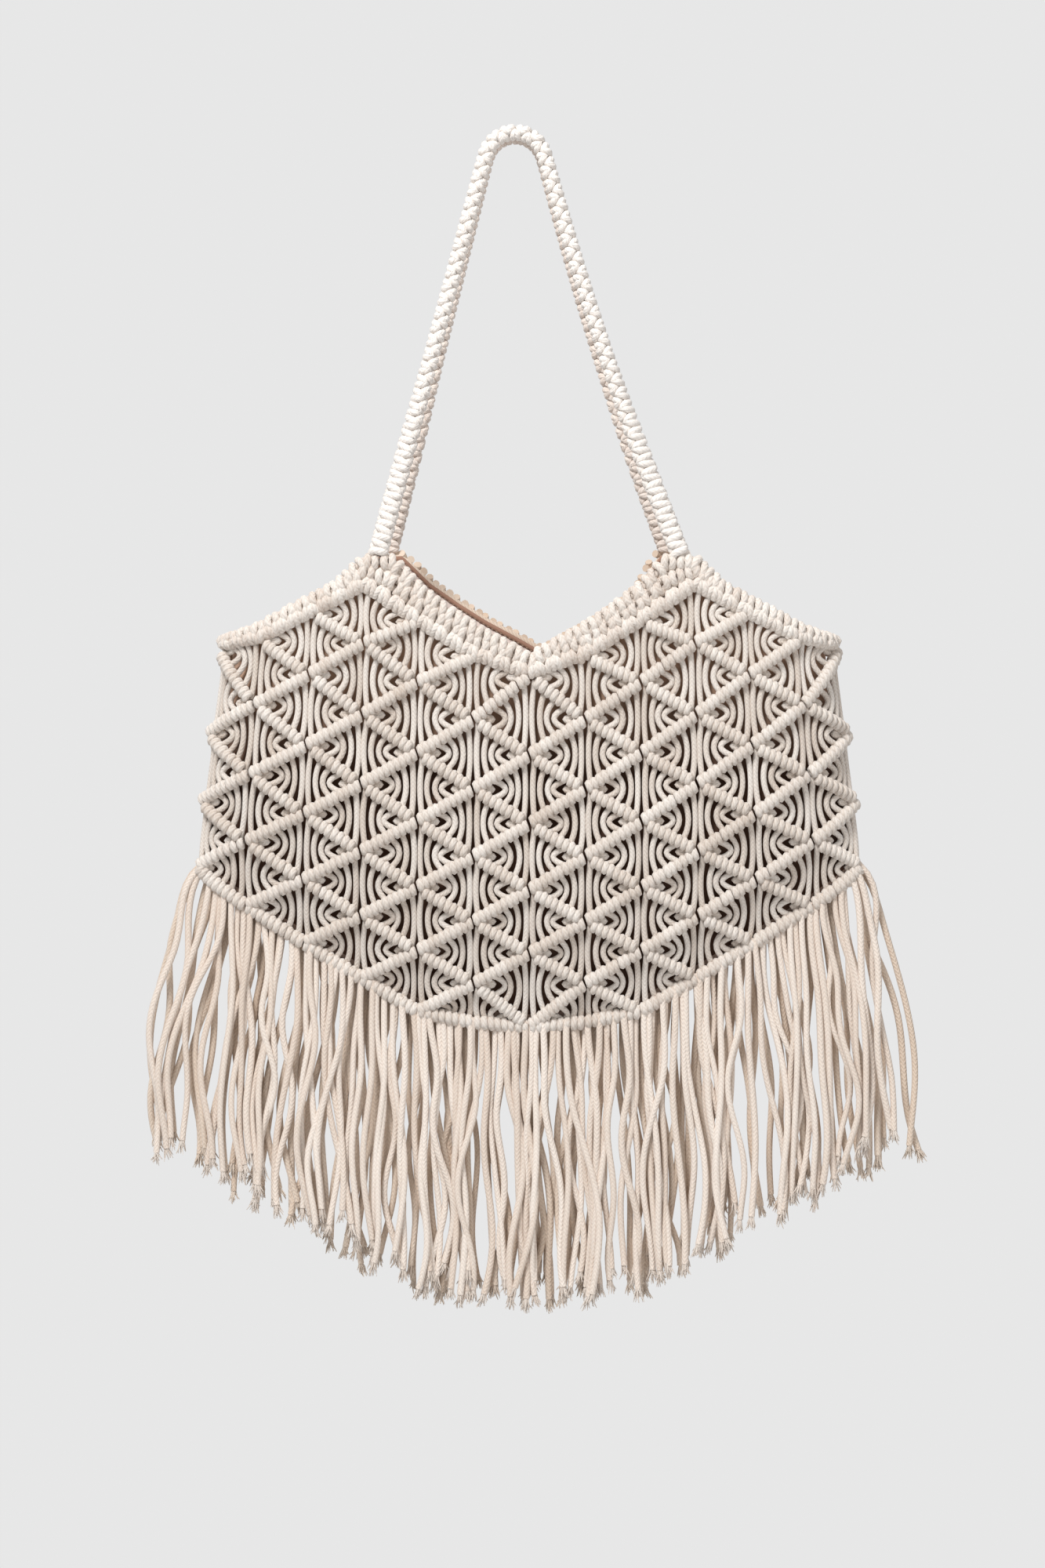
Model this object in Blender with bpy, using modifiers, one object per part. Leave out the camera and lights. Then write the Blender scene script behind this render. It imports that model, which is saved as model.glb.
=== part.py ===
"""Macrame shoulder bag of knotted cotton cord, hanging by its two handles.

Metres, +Z up, the front faces -Y. The origin is the hanging point: the
underside of the two handles where they lie side by side over a hook.
"""

import math

import bmesh
import bpy
from mathutils import Vector

# Cord and clearances
CORD = 0.0045
RIDGE = 0.009
CLEAR = 0.0003
RIM_CLEAR = 0.0005

# Body, measured round one face of the bag
COLUMN = 0.0340
HALF_COLUMNS = 6
HALF_DEPTH = 0.025
EDGE_TURN = math.radians(70)
EDGE_POWER = 8
BODY_X = 0.0086
FLARE = 0.018
CLOSING_HEIGHT = 0.120

# Diamond lattice of the nets, by half rows
ROW = 0.0221
ROW_TIGHTENS = 0.00017
SIDE_LIFT = 0.00038
ROW_START = 0.75
GAP_SHARE = 0.45

# Rim bands
HANDLE_DROP = 0.2535
BAND_HEIGHT = 0.0202
UPPER_FALL = 0.0614
LOWER_FALL = 0.0538
BAND_EDGE = 0.006
BAND_CROWN = 0.009
BACK_RISE = 0.006
BACK_SHIFT = -0.002

# Handles
STRAP_WIDTH = 0.014
STRAP_THICKNESS = 0.0096
KNOT_PITCH = 0.0087
KNOT_WAIST = 0.86
HOOK_RADIUS = 0.0137
TWIST_SHARE = 0.55
LEG_BOW = 0.004

# Lining
LINING_WALL = 0.0015
LINING_CLEAR = 0.0012
LINING_LIFT = 0.010
LINING_INSET = 0.003
LINING_DROP = 0.003

# Fringe
FRINGE_LENGTH = 0.160
FRINGE_SPREAD = 0.034
FRINGE_SWAY = 0.004
HEAD_HEIGHT = 0.008
HEAD_DEPTH = 0.0075
LOCKS = 8
LOCK_FILL = 0.86
LOCK_TAPER = 0.62
LOCK_DEPTH = 0.0065

# Edges of the rim band at each column, as shares of UPPER_FALL and LOWER_FALL
RIM_TABLE = (
    # column, upper edge, lower edge
    (0.0, 1.00, 1.000),
    (0.5, 0.84, 0.893),
    (1.0, 0.69, 0.786),
    (1.5, 0.51, 0.594),
    (2.0, 0.305, 0.402),
    (2.5, 0.02, 0.201),
    (3.0, 0.02, 0.000),
    (3.5, 0.27, 0.152),
    (4.0, 0.41, 0.304),
    (4.5, 0.54, 0.451),
    (5.0, 0.68, 0.598),
    (5.5, 0.77, 0.640),
    (6.0, 0.81, 0.680),
)
PEAK_COLUMN = 2.75

# The two faces: side of the seam, how much higher the rim hangs, how far it
# is drawn sideways, and the column where its handle stands
FRONT = {"name": "front", "sign": -1, "rise": 0.0, "shift": 0.0, "peak": PEAK_COLUMN}
BACK = {"name": "back", "sign": 1, "rise": BACK_RISE, "shift": BACK_SHIFT, "peak": 2.42}


def clear_scene():
    for old in list(bpy.data.objects):
        bpy.data.objects.remove(old)


def make_collection(name):
    made = bpy.data.collections.new(name)
    bpy.context.scene.collection.children.link(made)
    return made


def make_material(name, colour, roughness):
    material = bpy.data.materials.new(name)
    material.use_nodes = True
    shader = material.node_tree.nodes["Principled BSDF"]
    shader.inputs["Base Color"].default_value = (*colour, 1.0)
    shader.inputs["Roughness"].default_value = roughness
    shader.inputs["Metallic"].default_value = 0.0
    return material


def cotton_cord(name):
    return make_material(name + "_cotton", (0.78, 0.72, 0.65), 0.9)


def lining_cloth(name):
    return make_material(name + "_cloth", (0.58, 0.44, 0.34), 0.85)


def between(table, column, key):
    """Straight interpolation in one named column of a table."""
    for low, high in zip(table, table[1:]):
        if column <= high[0]:
            share = (column - low[0]) / (high[0] - low[0])
            return low[key] + share * (high[key] - low[key])
    return table[-1][key]


# Body surface

def turned_section(steps=240):
    """Middle section of one face: distance across and depth, by column."""
    across = [0.0]
    behind = [0.0]
    turn = [0.0]
    for n in range(steps):
        angle = EDGE_TURN * ((n + 0.5) / steps) ** EDGE_POWER
        across.append(across[-1] + math.cos(angle) / steps)
        behind.append(behind[-1] + math.sin(angle) / steps)
        turn.append(EDGE_TURN * ((n + 1) / steps) ** EDGE_POWER)
    width = COLUMN * HALF_COLUMNS
    table = []
    for n in range(steps + 1):
        column = n * HALF_COLUMNS / steps
        depth = HALF_DEPTH * (1 - behind[n] / behind[-1])
        slope = math.tan(turn[n]) * HALF_DEPTH / (width * behind[-1])
        table.append((column, width * across[n], depth, slope))
    return table


SECTION = turned_section()


def border_row(j):
    """Half row where the net of column j ends at the bottom."""
    if j == 0:
        return 11
    return 13 - j


def rim_row(j):
    """Half row where the net of column j meets the rim band."""
    return abs(j - 3) - 2


def rim_lower(column):
    return -(HANDLE_DROP + BAND_HEIGHT + LOWER_FALL * between(RIM_TABLE, abs(column), 2))


def rim_upper(face, column):
    """Upper edge of the band, its peak moved to where the handle stands."""
    c = abs(column)
    if c < face["peak"]:
        moved = c * PEAK_COLUMN / face["peak"]
    else:
        moved = HALF_COLUMNS - (HALF_COLUMNS - c) * (HALF_COLUMNS - PEAK_COLUMN) / (
            HALF_COLUMNS - face["peak"])
    return -(HANDLE_DROP + UPPER_FALL * between(RIM_TABLE, moved, 1))


def row_height(j, row):
    """Height of a lattice node: rows tighten downwards and rise to the sides."""
    top = rim_lower(0) + ROW_START * ROW
    return top - ROW * row + ROW_TIGHTENS * row * row + SIDE_LIFT * j * j


def node_height(j, row):
    """Height of a node, on the rim, inside the net or on the bottom ridge."""
    j = min(j, HALF_COLUMNS)
    if row <= rim_row(j):
        return rim_lower(j)
    if j < 2 and row >= border_row(j):
        return row_height(2, border_row(2)) - ROW * (0.30 + 0.12 * (1 - j))
    return row_height(j, row)


def border(column):
    """Bottom edge of the nets at a column."""
    c = min(abs(column), HALF_COLUMNS)
    j = min(int(c), HALF_COLUMNS - 1)
    low = node_height(j, border_row(j))
    high = node_height(j + 1, border_row(j + 1))
    return low + (c - j) * (high - low)


def height_share(column, z):
    """0 on the bottom border, 1 at the rim band's lower edge."""
    low = border(column)
    return max(0.0, min(1.0, (z - low) / (rim_lower(column) - low)))


def lifted(face, column, z):
    """The back face is drawn a little higher than the front."""
    c = min(abs(column), HALF_COLUMNS) / HALF_COLUMNS
    return z + face["rise"] * height_share(column, z) * (1 - c * c)


def swell(column, z, lift=0.0):
    """How far the two faces stand apart, from 0 at the bottom seam to 1."""
    rise = (z - border(column) - lift) / CLOSING_HEIGHT
    rise = max(0.0, min(1.0, rise))
    return 1 - (1 - rise) ** 2


def side_flare(z):
    """The bag widens from the rim's corner down to the foot of its side."""
    top = rim_lower(HALF_COLUMNS)
    foot = border(HALF_COLUMNS)
    share = max(-0.4, min(1.0, (top - z) / (top - foot)))
    return FLARE * (share - 0.65)


def on_body(face, column, z, out, lift=0.0):
    """Point on one face: column across, height, and distance outwards."""
    side = math.copysign(1.0, column)
    c = min(abs(column), HALF_COLUMNS)
    across = between(SECTION, c, 1)
    depth = between(SECTION, c, 2)
    full = swell(column, z, lift)
    slope = math.atan(between(SECTION, c, 3) * full)
    part = c / HALF_COLUMNS
    x = BODY_X + side * (across + side_flare(z) * part ** 3)
    x += face["shift"] * height_share(column, z) * (1 - part * part)
    x += side * out * math.sin(slope)
    y = CLEAR / 2 + depth * full + out * math.cos(slope)
    return Vector((x, face["sign"] * y, z))


# Mesh helpers

def finish(bm, name, material, collection):
    bmesh.ops.recalc_face_normals(bm, faces=bm.faces)
    if closed(bm) and bm.calc_volume(signed=True) < 0:
        bmesh.ops.reverse_faces(bm, faces=bm.faces)
    mesh = bpy.data.meshes.new(name)
    bm.to_mesh(mesh)
    bm.free()
    made = bpy.data.objects.new(name, mesh)
    made.data.materials.append(material)
    collection.objects.link(made)
    return made


def closed(bm):
    return all(len(edge.link_faces) == 2 for edge in bm.edges)


def thicken(bm):
    """Close a relief sheet with a flat back at no height."""
    sheet = list(bm.faces)
    made = bmesh.ops.extrude_face_region(bm, geom=sheet, use_keep_orig=True)
    backs = [item for item in made["geom"] if isinstance(item, bmesh.types.BMVert)]
    for vert in backs:
        vert.co.y = 0.0


def bend(bm, face):
    """Carry a flat plate, column by height with its thickness along Y, to the bag."""
    for vert in bm.verts:
        column, out, z = vert.co
        vert.co = on_body(face, column / COLUMN, z, out)


def sweep(bm, rings):
    """One closed bar through rings with equal numbers of points."""
    sides = len(rings[0])
    made = bmesh.ops.create_cone(
        bm, cap_ends=True, segments=sides, radius1=1, radius2=1, depth=2)
    ends = {-1: [], 1: []}
    for vert in made["verts"]:
        ends[round(vert.co.z)].append(vert)
    for end, ring in ((-1, rings[0]), (1, rings[1])):
        loop = sorted(ends[end], key=lambda vert: math.atan2(vert.co.y, vert.co.x))
        for vert, place in zip(loop, ring):
            vert.co = place
    tip = next(f for f in ends[1][0].link_faces if set(f.verts) == set(ends[1]))
    order = [min(range(sides), key=lambda n: (rings[1][n] - vert.co).length)
             for vert in tip.verts]
    for ring in rings[2:]:
        tip = bmesh.ops.extrude_discrete_faces(bm, faces=[tip])["faces"][0]
        for vert, n in zip(tip.verts, order):
            vert.co = ring[n]


def ring_of(centre, wide, thick, half_width, half_thickness, sides):
    """Points of a flattened section, in the plane of wide and thick."""
    turns = [2 * math.pi * (n + 0.5) / sides for n in range(sides)]
    reach_wide = max(math.cos(turn) for turn in turns)
    reach_thick = max(math.sin(turn) for turn in turns)
    points = []
    for turn in turns:
        across = half_width * math.cos(turn) / reach_wide
        through = half_thickness * math.sin(turn) / reach_thick
        points.append(centre + wide * across + thick * through)
    return points


# Nets

def lattice(bm):
    """A grid turned by 45 degrees, cut to the diamonds of one face."""
    cells = 2 * HALF_COLUMNS + 4
    above = HALF_COLUMNS + 3
    bmesh.ops.create_grid(bm, x_segments=cells, y_segments=cells, size=cells / 2)
    for vert in bm.verts:
        m = vert.co.x + cells / 2
        n = vert.co.y + cells / 2
        vert.co = Vector((m - n, 0.0, m + n - above))
    outside = []
    for cell in bm.faces:
        centre = cell.calc_center_median()
        j = abs(round(centre.x))
        row = round(centre.z)
        if j > HALF_COLUMNS or not rim_row(j) < row < border_row(j):
            outside.append(cell)
    bmesh.ops.delete(bm, geom=outside, context="FACES")
    for side in (-1, 1):
        bmesh.ops.bisect_plane(
            bm, geom=list(bm.verts) + list(bm.edges) + list(bm.faces), dist=1e-6,
            plane_co=(side * HALF_COLUMNS, 0, 0), plane_no=(side, 0, 0), clear_outer=True)


def place_nodes(bm, face):
    """From lattice counts to real distance across and height."""
    for vert in bm.verts:
        i = round(vert.co.x)
        row = round(vert.co.z)
        height = lifted(face, i, node_height(abs(i), row))
        vert.co = Vector((i * COLUMN, RIDGE, height))
    bm.normal_update()


def inner_radius(cell):
    return 2 * cell.calc_area() / cell.calc_perimeter()


def knot_net(face, collection):
    """Ridges of half hitches round each diamond, and the gap in its middle."""
    bm = bmesh.new()
    lattice(bm)
    place_nodes(bm, face)
    cells = list(bm.faces)
    bmesh.ops.inset_individual(bm, faces=cells, thickness=RIDGE / 2, use_even_offset=True)
    for cell in cells:
        for vert in cell.verts:
            vert.co.y = CORD
    for cell in cells:
        margin = inner_radius(cell) * (1 - GAP_SHARE)
        bmesh.ops.inset_individual(bm, faces=[cell], thickness=margin, use_even_offset=True)
    bmesh.ops.delete(bm, geom=cells, context="FACES")
    thicken(bm)
    bend(bm, face)
    name = face["name"] + "_net"
    return finish(bm, name, cotton_cord(name), collection)


# Strips that follow the rim or the border

def strip(bm, face, columns, upper, lower, edge, crown):
    """A crowned plate between two edges, along the given columns."""
    bmesh.ops.create_grid(bm, x_segments=len(columns) - 1, y_segments=2, size=1)
    for vert in bm.verts:
        n = round((vert.co.x + 1) / 2 * (len(columns) - 1))
        share = (vert.co.y + 1) / 2
        column = columns[n]
        low = lower(column)
        high = upper(column)
        out = edge + (crown - edge) * (1 - abs(2 * share - 1))
        vert.co = Vector((column * COLUMN, out, low + share * (high - low)))
    thicken(bm)
    bend(bm, face)


def rim_band(face, collection):
    """Square-knot band along the top of one face."""
    steps = 2 * HALF_COLUMNS
    columns = [n / 2 for n in range(-steps, steps + 1)]

    def upper(column):
        return lifted(face, column, rim_upper(face, column))

    def lower(column):
        return lifted(face, column, rim_lower(column)) + RIM_CLEAR

    bm = bmesh.new()
    strip(bm, face, columns, upper, lower, BAND_EDGE, BAND_CROWN)
    name = face["name"] + "_rim_band"
    return finish(bm, name, cotton_cord(name), collection)


# Lining

def pouch(collection):
    """Cloth bag inside the nets, open at the top and folded at the bottom."""
    rows = (0, 0.10, 0.20, 0.35, 0.50, 0.66, 0.83, 1)
    columns = list(range(-HALF_COLUMNS, HALF_COLUMNS + 1))
    bm = bmesh.new()
    for face in (FRONT, BACK):
        grid = bmesh.ops.create_grid(
            bm, x_segments=len(columns) - 1, y_segments=len(rows) - 1, size=1)
        for vert in grid["verts"]:
            column = columns[round((vert.co.x + 1) / 2 * (len(columns) - 1))]
            share = rows[round((vert.co.y + 1) / 2 * (len(rows) - 1))]
            vert.co = lining_point(face, column, share)
    bmesh.ops.remove_doubles(bm, verts=bm.verts, dist=1e-6)
    made = finish(bm, "lining", lining_cloth("lining"), collection)
    wall = made.modifiers.new("wall", "SOLIDIFY")
    wall.thickness = LINING_WALL
    wall.offset = -1.0
    return made


def lining_point(face, column, share):
    """Share runs from 0 at the bottom fold to 1 at the hem."""
    side = math.copysign(1.0, column)
    low = border(column) + LINING_LIFT
    hem = lining_hem(face, column)
    z = low + share * (hem - low)
    place = on_body(face, column, z, 0.0, LINING_LIFT)
    c = abs(column) / HALF_COLUMNS
    place.x -= side * LINING_INSET * c ** 3
    apart = max(abs(place.y) - CLEAR / 2 - LINING_CLEAR, LINING_WALL + CLEAR)
    if c >= 1 or share <= 0:
        apart = 0.0
    place.y = face["sign"] * apart
    return place


def lining_hem(face, column):
    """The hem follows the band, and the two faces share it at the sides."""
    c = abs(column) / HALF_COLUMNS
    own = lifted(face, column, rim_upper(face, column))
    shared = rim_upper(FRONT, column)
    return own + (shared - own) * c ** 4 - LINING_DROP


# Handles

def handle_centreline(face, spacing):
    """Left foot, round the hook and down to the right foot, as even points."""
    start = handle_foot(face, -1)
    end = handle_foot(face, 1)
    radius = HOOK_RADIUS + STRAP_THICKNESS / 2
    centre = Vector((0.0, 0.0, -HOOK_RADIUS))
    near = face["sign"] * (STRAP_WIDTH + CLEAR) / 2
    first = touch_angle(start, centre, radius, -1)
    last = touch_angle(end, centre, radius, 1)
    arc = []
    for n in range(13):
        angle = first + (last - first) * n / 12
        arc.append(centre + radius * Vector((math.cos(angle), 0, math.sin(angle))))
    flat = leg(start, arc[0], 0.0) + arc[1:-1] + leg(end, arc[-1], LEG_BOW)[::-1]
    lengths = [0.0]
    for a, b in zip(flat, flat[1:]):
        lengths.append(lengths[-1] + math.hypot(b.x - a.x, b.z - a.z))
    count = 2 * max(4, round(lengths[-1] / (2 * spacing)))
    points = []
    for n in range(count + 1):
        want = lengths[-1] * n / count
        k = max(i for i, done in enumerate(lengths[:-1]) if done <= want + 1e-9)
        share = (want - lengths[k]) / (lengths[k + 1] - lengths[k])
        place = flat[k].lerp(flat[k + 1], share)
        reach = abs(2 * n / count - 1)
        place.y = near + (start.y - near) * reach
        points.append(place)
    return points


def handle_foot(face, side):
    """Middle of the band's peak, at its top."""
    column = side * face["peak"]
    z = lifted(face, column, rim_upper(face, column)) + CLEAR
    return on_body(face, column, z, BAND_CROWN / 2)


def touch_angle(point, centre, radius, side):
    """Angle on the hook's circle where a straight leg leaves it."""
    away = Vector((point.x - centre.x, point.z - centre.z))
    towards = math.atan2(away.y, away.x)
    opening = math.acos(radius / away.length)
    return towards + 2 * math.pi - opening if side < 0 else towards + opening


def leg(foot, top, bow):
    """Straight leg with a slight bow towards the middle."""
    points = []
    for n in range(9):
        share = n / 8
        place = foot.lerp(top, share)
        place.x -= bow * math.sin(math.pi * share)
        points.append(place)
    return points


def handle(face, collection):
    """Flat square-knot strap, turned on edge where it lies over the hook."""
    points = handle_centreline(face, KNOT_PITCH / 2)
    rings = []
    last = len(points) - 1
    for n, centre in enumerate(points):
        along = (points[min(n + 1, last)] - points[max(n - 1, 0)]).normalized()
        across = along.cross(Vector((0, 1, 0))).normalized()
        reach = abs(2 * n / last - 1)
        turn = math.pi / 2 * smooth((1 - reach) / TWIST_SHARE)
        wide = across * math.cos(turn) + Vector((0, 1, 0)) * math.sin(turn)
        thick = along.cross(wide).normalized()
        if n in (0, last):
            upright = Vector((0, 0, math.copysign(1.0, along.z)))
            wide = upright.cross(Vector((0, 1, 0)))
            thick = upright.cross(wide)
        size = 1.0 if n % 2 == 0 else KNOT_WAIST
        rings.append(ring_of(centre, wide, thick, STRAP_WIDTH / 2 * size,
                             STRAP_THICKNESS / 2 * size, 6))
    bm = bmesh.new()
    sweep(bm, rings)
    name = face["name"] + "_handle"
    return finish(bm, name, cotton_cord(name), collection)


def smooth(share):
    share = max(0.0, min(1.0, share))
    return share * share * (3 - 2 * share)


# Fringe

def fringe(face, side, collection, guides):
    """Locks of hanging cord ends, joined to the row of knots under the net."""
    name = "fringe_" + face["name"] + ("_left" if side < 0 else "_right")
    steps = 2 * HALF_COLUMNS
    columns = [side * max(n / 2, CLEAR / COLUMN) for n in range(steps + 1)]
    if side < 0:
        columns.reverse()

    def upper(column):
        return border(column) - CLEAR

    def lower(column):
        return border(column) - CLEAR - HEAD_HEIGHT

    bm = bmesh.new()
    strip(bm, face, columns, upper, lower, HEAD_DEPTH, HEAD_DEPTH)
    head = finish(bm, name, cotton_cord(name), collection)
    bm = bmesh.new()
    for n in range(LOCKS):
        sweep(bm, lock_rings(face, side, n))
    locks = finish(bm, name + "_locks", cotton_cord(name + "_locks"), guides)
    locks.hide_render = True
    locks.display_type = "WIRE"
    join = head.modifiers.new("locks", "BOOLEAN")
    join.operation = "UNION"
    join.solver = "EXACT"
    join.object = locks
    return head


def lock_rings(face, side, n):
    """One lock: it leaves the knots, waves a little and thins to its tip."""
    share = (n + 0.5) / LOCKS
    column = side * share * HALF_COLUMNS
    top = on_body(face, column, border(column) - CLEAR - HEAD_HEIGHT / 2, 0.0)
    top.y = face["sign"] * (CLEAR + LOCK_DEPTH / 2 + (HEAD_DEPTH - LOCK_DEPTH) / 2)
    width = COLUMN * HALF_COLUMNS / LOCKS * LOCK_FILL
    slope = side * (border(column + 0.1) - border(column - 0.1)) / (0.2 * COLUMN)
    length = FRINGE_LENGTH * (1 + 0.05 * math.sin(2.1 * n + face["sign"]))
    rings = []
    for k in range(5):
        fall = k / 4
        centre = top.copy()
        centre.z -= length * fall
        centre.x += side * FRINGE_SPREAD * share ** 4 * smooth(fall)
        centre.x += FRINGE_SWAY * math.sin(3.5 * fall + 1.7 * n) * fall
        centre.y += face["sign"] * FRINGE_SWAY * fall * (0.5 + 0.5 * math.sin(1.3 * n))
        size = 1 - (1 - LOCK_TAPER) * fall
        wide = Vector((1, 0, side * slope * (1 - fall)))
        rings.append(ring_of(centre, wide, Vector((0, 1, 0)),
                             width / 2 * size, LOCK_DEPTH / 2 * size, 4))
    return rings


clear_scene()
bag = make_collection("macrame_bag")
cutters = make_collection("joined_pieces")
for one_face in (FRONT, BACK):
    knot_net(one_face, bag)
    rim_band(one_face, bag)
    handle(one_face, bag)
    for one_side in (-1, 1):
        fringe(one_face, one_side, bag, cutters)
pouch(bag)
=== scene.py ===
"""Macrame shoulder bag of knotted cotton cord, hanging by its two handles.

Metres, +Z up, the front faces -Y. The origin is the hanging point, at the
underside of the handles where they lie side by side over a hook.
"""

import math
import random

import bmesh
import bpy
import numpy as np
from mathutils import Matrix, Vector, noise


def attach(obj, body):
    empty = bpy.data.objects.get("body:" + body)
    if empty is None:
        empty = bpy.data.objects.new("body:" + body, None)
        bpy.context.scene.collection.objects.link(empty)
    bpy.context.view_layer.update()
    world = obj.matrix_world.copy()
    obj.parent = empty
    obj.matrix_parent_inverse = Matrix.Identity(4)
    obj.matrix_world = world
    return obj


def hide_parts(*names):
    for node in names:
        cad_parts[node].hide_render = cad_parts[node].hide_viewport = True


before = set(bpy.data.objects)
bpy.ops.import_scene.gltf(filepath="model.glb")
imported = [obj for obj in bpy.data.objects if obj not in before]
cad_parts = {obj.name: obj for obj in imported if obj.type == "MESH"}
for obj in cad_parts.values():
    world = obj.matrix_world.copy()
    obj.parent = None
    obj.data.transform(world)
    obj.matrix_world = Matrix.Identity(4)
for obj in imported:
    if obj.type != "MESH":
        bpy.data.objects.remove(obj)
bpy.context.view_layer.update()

# Camera, as the photograph was taken: straight at the front, a little above
# the middle of the bag
CAMERA_AT = (0.0046, -2.6, -0.393)
lens = bpy.data.cameras.new("camera")
lens.sensor_fit = "VERTICAL"
lens.sensor_height = 36.0
lens.lens = 97.5
camera = bpy.data.objects.new("camera", lens)
camera.location = CAMERA_AT
camera.rotation_euler = (math.radians(90), 0, 0)
bpy.context.scene.collection.objects.link(camera)
bpy.context.scene.camera = camera


# Studio: plain pale surroundings, one large soft light from the upper left
# and a weaker one from the right
def lamp(name, place, aim, size, power):
    """A round soft light at a place, turned towards the point it lights."""
    light = bpy.data.lights.new(name, "AREA")
    light.shape = "DISK"
    light.size = size
    light.energy = power
    made = bpy.data.objects.new(name, light)
    made.location = place
    made.rotation_euler = (Vector(aim) - Vector(place)).to_track_quat("-Z", "Y").to_euler()
    bpy.context.scene.collection.objects.link(made)


lamp("key_light", (-0.9, -1.8, 1.6), (0, 0, -0.45), 0.9, 74)
lamp("fill_light", (1.6, -1.8, -0.2), (0, 0, -0.4), 1.4, 9)

# The room: a bright wall behind the bag, and a dimmer room in front of it that
# leaves the grooves between the cords darker than their faces
WALL = 0.80
ROOM = 0.44
WALL_STARTS = 0.2
WALL_FULL = 0.9
world = bpy.data.worlds.new("studio")
world.use_nodes = True
tree = world.node_tree
facing = tree.nodes.new("ShaderNodeTexCoord")
parts = tree.nodes.new("ShaderNodeSeparateXYZ")
tree.links.new(facing.outputs["Generated"], parts.inputs[0])
level = tree.nodes.new("ShaderNodeMapRange")
level.interpolation_type = "SMOOTHSTEP"
tree.links.new(parts.outputs[1], level.inputs["Value"])
level.inputs["From Min"].default_value = WALL_STARTS
level.inputs["From Max"].default_value = WALL_FULL
level.inputs["To Min"].default_value = ROOM
level.inputs["To Max"].default_value = WALL
tree.links.new(level.outputs[0], tree.nodes["Background"].inputs["Strength"])
tree.nodes["Background"].inputs["Color"].default_value = (1.0, 1.0, 1.0, 1)
bpy.context.scene.world = world
bpy.context.scene.view_settings.view_transform = "Standard"

# Floor: a plain pale disc of painted board, well below the fringe
FLOOR_Z = -1.2
FLOOR_RADIUS = 1.1
bm = bmesh.new()
bmesh.ops.create_circle(bm, cap_ends=True, segments=96, radius=FLOOR_RADIUS)
bmesh.ops.translate(bm, verts=bm.verts, vec=(0, 0, FLOOR_Z))
floor_mesh = bpy.data.meshes.new("floor")
bm.to_mesh(floor_mesh)
bm.free()
floor = bpy.data.objects.new("floor", floor_mesh)
bpy.context.scene.collection.objects.link(floor)
# Matt pale paint, even and without a pattern
paint = bpy.data.materials.new("studio_floor_paint")
paint.use_nodes = True
coat = paint.node_tree.nodes["Principled BSDF"]
coat.inputs["Base Color"].default_value = (0.8, 0.8, 0.8, 1)
coat.inputs["Roughness"].default_value = 0.8
floor_mesh.materials.append(paint)

# Nets: one on each face, of braided cotton cord 4.5 mm thick. Rows of double
# half hitches cross as ridges, and the same cords run loose across each
# diamond between them. Both nets hang from the rim bands and meet at the
# sides and along the bottom border. The measures are those of the solids.
CORD = 0.0045
CLEAR = 0.0003
COLUMN = 0.0340
HALF_COLUMNS = 6
HALF_DEPTH = 0.025
EDGE_TURN = math.radians(70)
EDGE_POWER = 8
BODY_X = 0.0086
FLARE = 0.018
CLOSING_HEIGHT = 0.120
ROW = 0.0221
ROW_TIGHTENS = 0.00017
SIDE_LIFT = 0.00038
ROW_START = 0.75
HANDLE_DROP = 0.2535
BAND_HEIGHT = 0.0202
UPPER_FALL = 0.0614
LOWER_FALL = 0.0538
BACK_RISE = 0.006
BACK_SHIFT = 0.008
RIM_TABLE = np.array((
    # column, upper edge, lower edge
    (0.0, 1.00, 1.000),
    (0.5, 0.84, 0.893),
    (1.0, 0.69, 0.786),
    (1.5, 0.51, 0.594),
    (2.0, 0.305, 0.402),
    (2.5, 0.02, 0.201),
    (3.0, 0.02, 0.000),
    (3.5, 0.27, 0.152),
    (4.0, 0.41, 0.304),
    (4.5, 0.54, 0.451),
    (5.0, 0.68, 0.598),
    (5.5, 0.77, 0.640),
    (6.0, 0.81, 0.680),
))
PEAK_COLUMN = 2.75
STEADY_COLUMN = 1.6
FRONT = {"name": "front", "sign": -1, "rise": 0.0, "shift": 0.0,
         "peaks": (PEAK_COLUMN, PEAK_COLUMN)}
BACK = {"name": "back", "sign": 1, "rise": BACK_RISE, "shift": BACK_SHIFT,
        "peaks": (2.80, 2.38)}


def turned_section(steps=240):
    """Middle section of one face: column, distance across, depth and slope."""
    share = (np.arange(steps) + 0.5) / steps
    angle = EDGE_TURN * share ** EDGE_POWER
    across = np.concatenate([[0], np.cumsum(np.cos(angle)) / steps])
    behind = np.concatenate([[0], np.cumsum(np.sin(angle)) / steps])
    ends = np.arange(steps + 1) / steps
    width = COLUMN * HALF_COLUMNS
    slope = np.tan(EDGE_TURN * ends ** EDGE_POWER) * HALF_DEPTH / (width * behind[-1])
    return (ends * HALF_COLUMNS, width * across,
            HALF_DEPTH * (1 - behind / behind[-1]), slope)


SECTION = turned_section()


def border_row(j):
    """Half row of the crossing at the bottom border in a column."""
    return 11 if j == 0 else 13 - j


def rim_row(j):
    """Half row of the last crossing that the rim band covers in a column."""
    return abs(j - 3) - 2


def rim_lower(column):
    """Height of the rim band's lower edge."""
    share = np.interp(abs(column), RIM_TABLE[:, 0], RIM_TABLE[:, 2])
    return -(HANDLE_DROP + BAND_HEIGHT + LOWER_FALL * float(share))


def rim_upper(face, column):
    """Height of the rim band's upper edge, its peaks moved to the face's own."""
    c = abs(column)
    peak = face["peaks"][column > 0]
    moved = np.interp(c, (0, STEADY_COLUMN, peak, HALF_COLUMNS),
                      (0, STEADY_COLUMN, PEAK_COLUMN, HALF_COLUMNS))
    share = np.interp(moved, RIM_TABLE[:, 0], RIM_TABLE[:, 1])
    return -(HANDLE_DROP + UPPER_FALL * float(share))


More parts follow.
